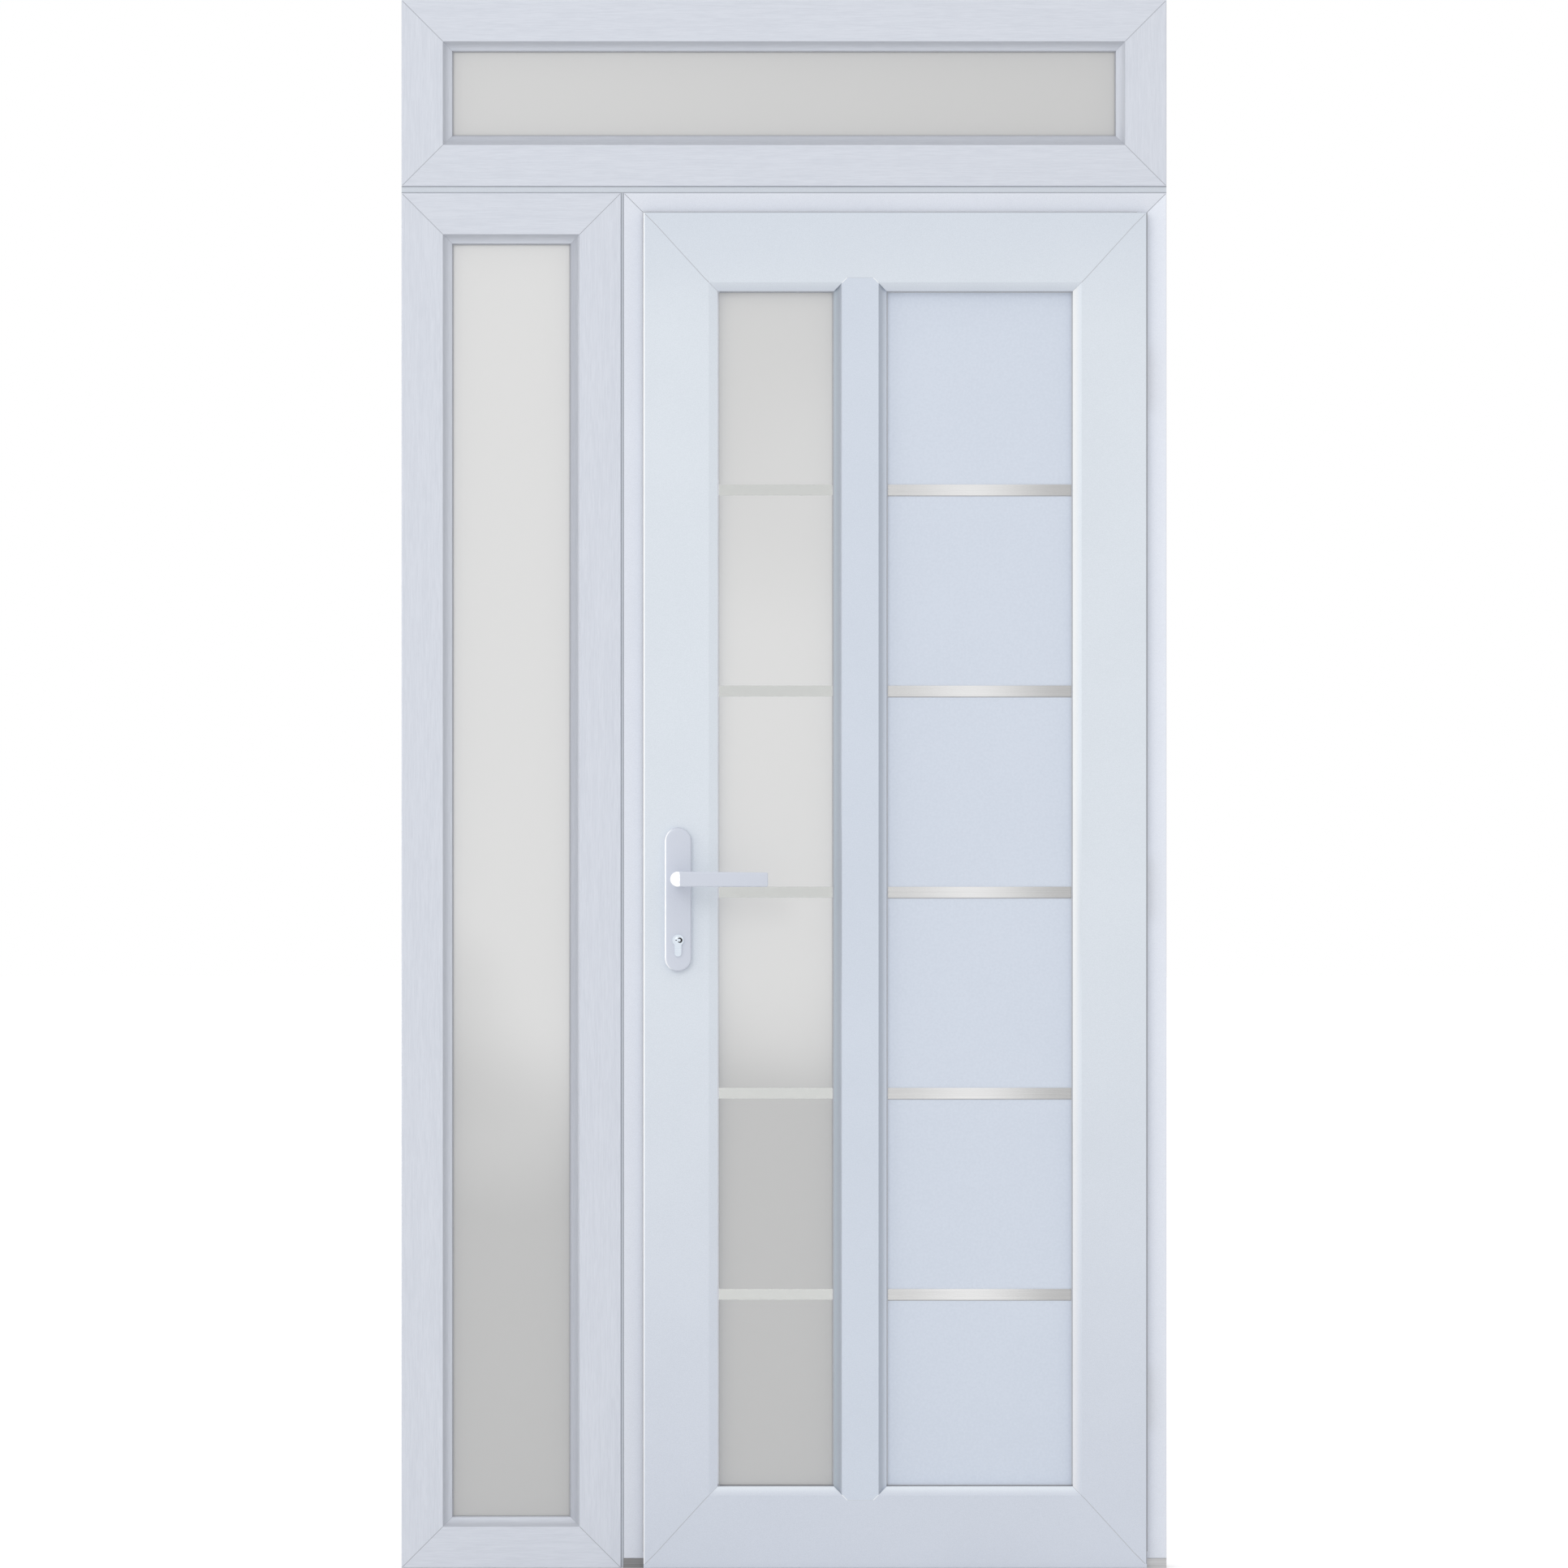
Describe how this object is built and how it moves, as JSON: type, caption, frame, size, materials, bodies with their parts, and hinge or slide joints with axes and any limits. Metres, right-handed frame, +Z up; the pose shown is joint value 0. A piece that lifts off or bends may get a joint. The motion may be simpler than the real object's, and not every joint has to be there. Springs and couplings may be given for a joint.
{
  "type": "entrance door with sidelight and transom",
  "caption": "White PVC entrance door with a hinged leaf, lever handle, frosted sidelight and frosted transom, with a glazed light and a steel-striped panel in the leaf.",
  "frame": {"origin": "floor level, midway across the whole width and midway through the frame's depth, on the flat underside of the threshold", "axes": "+X to the viewer's right and +Y away from the viewer, seen from the side that the leaf opens to; +Z up"},
  "size_m": [1.15, 0.194, 2.357],
  "materials": {
    "white_pvc_grained": "fine lengthwise grain, satin",
    "white_pvc_smooth": "smooth satin",
    "coupler_pvc": "smooth satin",
    "panel_skin": "smooth matte",
    "frosted_glass": "satin etched",
    "gasket_rubber": "matte grey",
    "brush_pile": "woven pile",
    "strip_steel": "brushed lengthwise",
    "threshold_aluminium": "mill finish",
    "handle_white": "white powder coat",
    "lock_nickel": "satin nickel",
    "hardware_steel": "satin zinc"
  },
  "bodies": {
    "frame": {"door_frame_head": "white_pvc_smooth", "door_frame_hinge_jamb": "white_pvc_smooth", "door_frame_lock_jamb": "white_pvc_smooth", "frame_seal": "gasket_rubber", "hinge_frame_halves": "hardware_steel", "hinge_pins": "hardware_steel", "sidelight_beads": "white_pvc_grained", "sidelight_coupler": "coupler_pvc", "sidelight_gasket": "gasket_rubber", "sidelight_glass": "frosted_glass", "sidelight_head": "white_pvc_grained", "sidelight_left_jamb": "white_pvc_grained", "sidelight_right_jamb": "white_pvc_grained", "sidelight_sill": "white_pvc_grained", "strike_plate": "hardware_steel", "threshold": "threshold_aluminium", "transom_beads": "white_pvc_grained", "transom_coupler": "coupler_pvc", "transom_gasket": "gasket_rubber", "transom_glass": "frosted_glass", "transom_head": "white_pvc_grained", "transom_left_jamb": "white_pvc_grained", "transom_right_jamb": "white_pvc_grained", "transom_sill": "white_pvc_grained"},
    "leaf": {"leaf_lock_stile": "white_pvc_smooth", "leaf_hinge_stile": "white_pvc_smooth", "leaf_top_rail": "white_pvc_smooth", "leaf_bottom_rail": "white_pvc_smooth", "leaf_mullion": "white_pvc_smooth", "leaf_glass": "frosted_glass", "leaf_panel": "panel_skin", "panel_steel_strips": "strip_steel", "leaf_gaskets": "gasket_rubber", "leaf_beads": "white_pvc_smooth", "leaf_seal": "gasket_rubber", "bottom_seal": "brush_pile", "handle_plate_front": "handle_white", "handle_plate_back": "handle_white", "lock_cylinder": "lock_nickel", "lock_faceplate": "hardware_steel", "lock_bolts": "hardware_steel", "hinge_leaf_halves": "hardware_steel"},
    "lever": {"lever_front": "handle_white", "lever_back": "handle_white", "lever_spindle": "hardware_steel"}
  },
  "joints": [
    {"name": "leaf_swing", "type": "hinge", "parent": "frame", "child": "leaf", "pos_m": [0.538, -0.047, 1.021], "axis": [0, 0, 1], "range_deg": [0, 100]},
    {"name": "lever_turn", "type": "hinge", "parent": "leaf", "child": "lever", "pos_m": [-0.159, -0.02, 1.036], "axis": [0, 1, 0], "range_deg": [0, 40], "stiffness_Nm_per_rad": 1, "springref_deg": -68.75}
  ]
}
